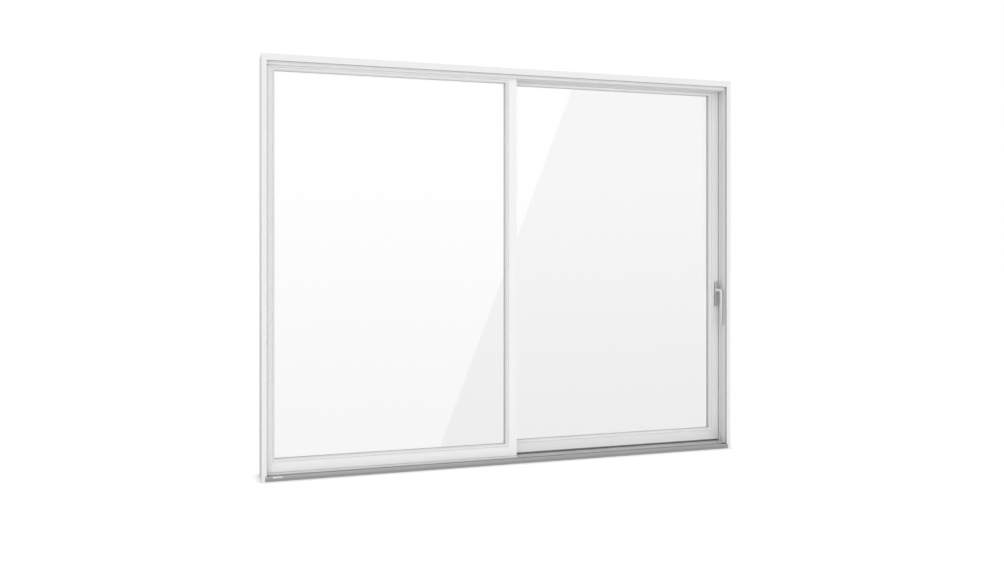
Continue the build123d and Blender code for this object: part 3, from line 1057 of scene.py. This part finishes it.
@dataclass
class ChannelPlugs(Assembly):
    """The dark plugs that close the roller channel at both ends of the sliding panel."""

    low: Corner = (-0.0122, 0.0352, 0.0415)
    high: Corner = (-0.0022, 0.0588, 0.0703)
    shift: float = 1.2792
    edge: float = 0.0010
    rim: float = 0.0030
    slope: float = 0.00075
    dish: float = 0.0015

    def build(self) -> None:
        """Model the left plug, dished on both sides, and set out both."""
        block(self.low, self.high)
        pick(Part.FACE, along(X))
        bpy.ops.mesh.inset(thickness=self.rim, use_individual=True)
        bpy.ops.mesh.inset(thickness=self.slope, depth=-self.dish, use_individual=True)
        soften(self._on_outside, self.edge, 3)
        shift = Matrix.Translation((self.shift, 0, 0))
        set_out(self.finishes, [
            (Piece("channel_plug_left", Body.PANEL, Slot.RUNNING, Look.DARK_PLASTIC), Matrix()),
            (Piece("channel_plug_right", Body.PANEL, Slot.RUNNING, Look.DARK_PLASTIC), shift)])

    def _on_outside(self, middle: Vector, way: Vector) -> bool:
        """Say whether an edge is one of the block's own twelve.

        Args:
            middle: the edge's middle.
            way: its direction, which doesn't count.

        Returns:
            Whether it is.
        """
        near = [min(abs(middle[axis] - self.low[axis]), abs(middle[axis] - self.high[axis])) < SAME
                for axis in (X, Y, Z)]
        return sum(near) == 2


@dataclass
class LipShadeStrips(Assembly):
    """Grey strips in the groove behind the frame's lip, at the head and jambs, whose dark grey
    paints the groove's shadow line.
    """

    head_low: Corner = (-1.2855, -0.0770, 2.0585)
    head_high: Corner = (1.2915, -0.0660, 2.0680)
    left_low: Corner = (-1.2860, -0.0770, 0.0265)
    left_high: Corner = (-1.2755, -0.0660, 2.0585)
    right_low: Corner = (1.2755, -0.0770, 0.0265)
    right_high: Corner = (1.2920, -0.0730, 2.0585)
    rim: float = 0.0012
    dish: float = 0.0006
    edge: float = 0.0003

    def build(self) -> None:
        """Build the three strips, each open towards the doorway."""
        self._strip("lip_shade_strip_head", self.head_low, self.head_high, Vector((0, 0, -1)))
        self._strip("lip_shade_strip_left", self.left_low, self.left_high, Vector((1, 0, 0)))
        self._strip("lip_shade_strip_right", self.right_low, self.right_high, Vector((-1, 0, 0)))

    def _strip(self, name: str, low: Corner, high: Corner, open_way: Vector) -> None:
        """Make one strip with a shallow channel in its open side.

        Args:
            name: what the strip is called.
            low: its lowest corner.
            high: its highest corner.
            open_way: the direction that its open side looks in.
        """
        block(low, high)
        pick(Part.FACE, towards(open_way))
        bpy.ops.mesh.inset(thickness=self.rim)
        push(*(open_way * -self.dish))
        side = Vector(high if sum(open_way) > 0 else low).dot(open_way)
        soften(lambda middle, way: abs(middle.dot(open_way) - side) < SAME
               and abs(way.dot(open_way)) < SAME, self.edge, 2)
        Piece(name, Body.FRAME, Slot.SEAL, Look.LIP_SHADE).finish(self.finishes)


@dataclass
class FixingPlugs(Assembly):
    """White plugs over the screws that hold the jambs to the wall."""

    head: RoundHead = RoundHead(radius=0.007, proud=0.0008, edge=0.0004, sides=32, edge_steps=3)
    rim_share: float = 1 / 4
    slope_share: float = 1 / 12
    dish: float = 0.0002
    wall_x: float = 1.284
    track_y: float = 0.047
    heights: tuple[float, ...] = (0.25, 0.65, 1.25, 1.85)

    def build(self) -> None:
        """Model one plug and set it out down both jambs."""
        self.head.start()
        bpy.ops.mesh.inset(thickness=self.head.radius * self.rim_share)
        bpy.ops.mesh.inset(thickness=self.head.radius * self.slope_share, depth=-self.dish)
        places = []
        for side, x, turn in (("left", -self.wall_x, 90), ("right", self.wall_x, -90)):
            for number, height in enumerate(self.heights, 1):
                piece = Piece(f"jamb_plug_{side}_{number}", Body.FRAME, Slot.TIMBER, Look.PLUG)
                spot = Matrix.Translation((x, self.track_y, height))
                places.append((piece, spot @ Matrix.Rotation(math.radians(turn), 4, "Y")))
        set_out(self.finishes, places, SHARP_ROUND)


@dataclass
class Studio:
    """The plain white studio: camera, floor, and the surround that lights and is mirrored."""

    camera_place: Corner = (-1.6175, -4.8555, 1.1418)
    camera_turn: float = -17.949
    camera_reach: float = 100.0
    focal_pixels: float = 954.12
    horizon_row: float = 247.8
    image_width: float = 1004.0
    image_height: float = 565.0
    sensor: float = 36.0
    floor_size: float = 60.0
    floor_bounce: float = 0.80
    floor_catch: float = 0.95
    floor_margin: float = 0.04
    floor_front_glow: float = 0.36
    floor_glow_edge: float = 0.3
    # The painted contact shadow round the door's foot: the footprint's half sizes, its reach and
    # its depth.
    painted_shadow_half: tuple[float, float] = (1.3, 0.08)
    painted_shadow_reach: float = 0.06
    painted_shadow_depth: float = 0.30
    painted_shadow_power: float = 2.0
    dome_level: float = 0.525
    dome_front: float = 0.98
    dome_rear: float = 0.45
    dome_power: float = 4.0
    dome_rise: float = 30.0
    floor_share: float = 0.17
    edge_top: tuple[float, float] = (560.5, 120.0)
    edge_foot: tuple[float, float] = (450.0, 420.0)
    edge_half: float = 0.0004
    dim_side: float = 0.53
    dim_from: float = 0.07
    dim_to: float = -0.186
    dim_by: float = 0.45

    def set_up(self) -> None:
        """Build the whole studio."""
        self._camera()
        self._world()
        self._floor()
        bpy.context.scene.view_settings.view_transform = "Standard"

    def _camera(self) -> None:
        """Stand the camera where the photograph was taken from."""
        data = bpy.data.cameras.new("photo_camera")
        data.sensor_width = self.sensor
        data.sensor_fit = "HORIZONTAL"
        data.lens = self.focal_pixels * self.sensor / self.image_width
        data.shift_y = (self.horizon_row - self.image_height / 2) / self.image_width
        data.clip_end = self.camera_reach
        camera = bpy.data.objects.new("photo_camera", data)
        camera.location = self.camera_place
        camera.rotation_euler = (math.radians(90), 0, math.radians(self.camera_turn))
        bpy.context.scene.collection.objects.link(camera)
        bpy.context.scene.camera = camera

    def _world(self) -> None:
        """Make a surround: full white to the eye, gentler as light, patterned where mirrored."""
        world = bpy.data.worlds.new("white_surround")
        world.use_nodes = True
        bpy.context.scene.world = world
        wires = Wiring(world.node_tree)
        seen = world.node_tree.nodes["Background"]
        seen.inputs["Color"].default_value = grey(1.0)
        seen.inputs["Strength"].default_value = 1.0
        fill = wires.white("Background", self._dome_level(wires))
        mirrored = wires.white("Background", self._mirrored_level(wires))
        path = wires.add("LightPath").outputs
        bright = wires.shader("MixShader", path["Glossy Depth"], seen.outputs["Background"],
                              mirrored)
        light = wires.number("MAXIMUM", path["Is Diffuse Ray"], path["Is Shadow Ray"])
        whole = wires.shader("MixShader", light, bright, fill)
        wires.join(whole, world.node_tree.nodes["World Output"].inputs["Surface"])

    def _dome_level(self, wires: Wiring) -> Socket:
        """Wire the surround as light: brightest from the room side, gentler from behind.

        Args:
            wires: the wiring of the world's tree.

        Returns:
            The output that gives the level.
        """
        place = wires.add("TexCoord").outputs["Generated"]
        rise = math.radians(self.dome_rise)
        level: object = self.dome_level
        for side, strength in ((-1, self.dome_front), (1, self.dome_rear)):
            way = (0.0, side * math.cos(rise), math.sin(rise))
            facing = wires.number("MAXIMUM", wires.vector("DOT_PRODUCT", place, way), 0.0)
            lobe = wires.number("POWER", facing, self.dome_power)
            level = wires.number("ADD", wires.number("MULTIPLY", lobe, strength), level)
        return level

    def _mirrored_way(self, pixel: tuple[float, float]) -> Vector:
        """Work out the direction that a pane mirrors at one pixel of the picture.

        Args:
            pixel: column and row in the picture.

        Returns:
            The direction from the pane into the studio.
        """
        turn = math.radians(self.camera_turn)
        ahead = Vector((-math.sin(turn), math.cos(turn), 0.0))
        right = Vector((math.cos(turn), math.sin(turn), 0.0))
        across = (pixel[0] - self.image_width / 2) / self.focal_pixels
        rise = (self.horizon_row - pixel[1]) / self.focal_pixels
        way = ahead + right * across + Vector((0.0, 0.0, rise))
        return Vector((way.x, -way.y, way.z))

    def _mirrored_level(self, wires: Wiring) -> Socket:
        """Wire the surround as it is mirrored: a white side, a slanting edge, a dimmer side.

        Args:
            wires: the wiring of the world's tree.

        Returns:
            The output that gives the level.
        """
        across = self._mirrored_way(self.edge_top).cross(self._mirrored_way(self.edge_foot))
        across.normalize()
        if across.dot(self._mirrored_way((self.image_width, self.horizon_row))) < 0:
            across = -across
        place = wires.add("TexCoord").outputs["Generated"]
        dim = wires.ramp(wires.vector("DOT_PRODUCT", place, across), From_Min=-self.edge_half,
                         From_Max=self.edge_half, To_Min=1.0, To_Max=self.dim_side)
        height = wires.add("SeparateXYZ")
        wires.join(place, height.inputs["Vector"])
        fall = wires.ramp(height.outputs["Z"], From_Min=self.dim_from, From_Max=self.dim_to,
                          To_Min=0.0, To_Max=self.dim_by)
        return wires.number("SUBTRACT", dim, fall)

    def _front_glow(self, wires: Wiring, place: Socket) -> Socket:
        """Wire the pale card on the room side, as the light that it adds to the floor's own.

        Args:
            wires: the wiring of the floor's material.
            place: the floor's object coordinates.

        Returns:
            The output that gives the strength.
        """
        parts = wires.add("SeparateXYZ")
        wires.join(place, parts.inputs["Vector"])
        return wires.ramp(parts.outputs["Y"], From_Min=self.floor_glow_edge,
                          From_Max=-self.floor_glow_edge, To_Max=self.floor_front_glow)

    def _seen_glow_less_painted_shadow(self, wires: Wiring, place: Socket) -> Socket:
        """Wire what lifts the lit floor to white, less a painted contact shadow where the door
        stands on it.

        Args:
            wires: the wiring of the floor's material.
            place: the floor's object coordinates.

        Returns:
            The output that gives the strength.
        """
        # A painted contact shadow, darkest at the door's foot and gone by its reach, is taken off
        # the floor's glow.
        beyond = wires.vector("SUBTRACT", wires.vector("ABSOLUTE", place),
                              (*self.painted_shadow_half, 0.0))
        far = wires.vector("LENGTH", wires.vector("MAXIMUM", beyond))
        near = wires.ramp(far, From_Max=self.painted_shadow_reach, To_Min=1.0, To_Max=0.0)
        shade = wires.number("MULTIPLY", wires.number("POWER", near, self.painted_shadow_power),
                             -self.painted_shadow_depth)
        lit = self.dome_level + (self.dome_front + self.dome_rear) * self.floor_share
        return wires.number("ADD", shade, 1.0 + self.floor_margin - self.floor_catch * lit)

    def _floor(self) -> None:
        """Lay a pale floor that reads white, keeps the door's real shadow and adds a painted
        contact shadow round its foot.
        """
        clear_selection()
        bpy.ops.mesh.primitive_plane_add(size=self.floor_size)
        floor = bpy.context.object
        floor.name = "studio_floor"
        floor.visible_glossy = False
        material = bpy.data.materials.new("pale_floor")
        material.use_nodes = True
        material.node_tree.nodes.clear()
        wires = Wiring(material.node_tree)
        place = wires.add("TexCoord").outputs["Object"]
        path = wires.add("LightPath").outputs
        pale = wires.add("BsdfDiffuse", Color=grey(self.floor_bounce)).outputs["BSDF"]
        card = wires.white("Emission", self._front_glow(wires, place))
        catcher = wires.add("BsdfDiffuse", Color=grey(self.floor_catch)).outputs["BSDF"]
        glow = wires.white("Emission", self._seen_glow_less_painted_shadow(wires, place))
        first = wires.shader("MixShader", path["Is Camera Ray"],
                             wires.shader("AddShader", pale, card),
                             wires.shader("AddShader", catcher, glow))
        through = wires.shader("MixShader", path["Is Transmission Ray"], first,
                               wires.white("Emission", 1.0))
        whole = wires.shader("MixShader", path["Glossy Depth"], through,
                             wires.add("BsdfTransparent").outputs["BSDF"])
        wires.join(whole, wires.add("OutputMaterial").inputs["Surface"])
        floor.data.materials.append(material)


def main() -> None:
    """Build the studio and the door, and report each piece."""
    logging.basicConfig(level=logging.INFO, format="%(name)s: %(message)s")
    Studio().set_up()
    finishes = Finishes()
    finishes.dress_nodes()
    for kind in (LeverHandle, Screws, ThresholdTrim, ChannelPlugs, LipShadeStrips, FixingPlugs):
        LOG.info("building %s", kind.__name__)
        kind(finishes).build()


if __name__ == "__main__":
    main()
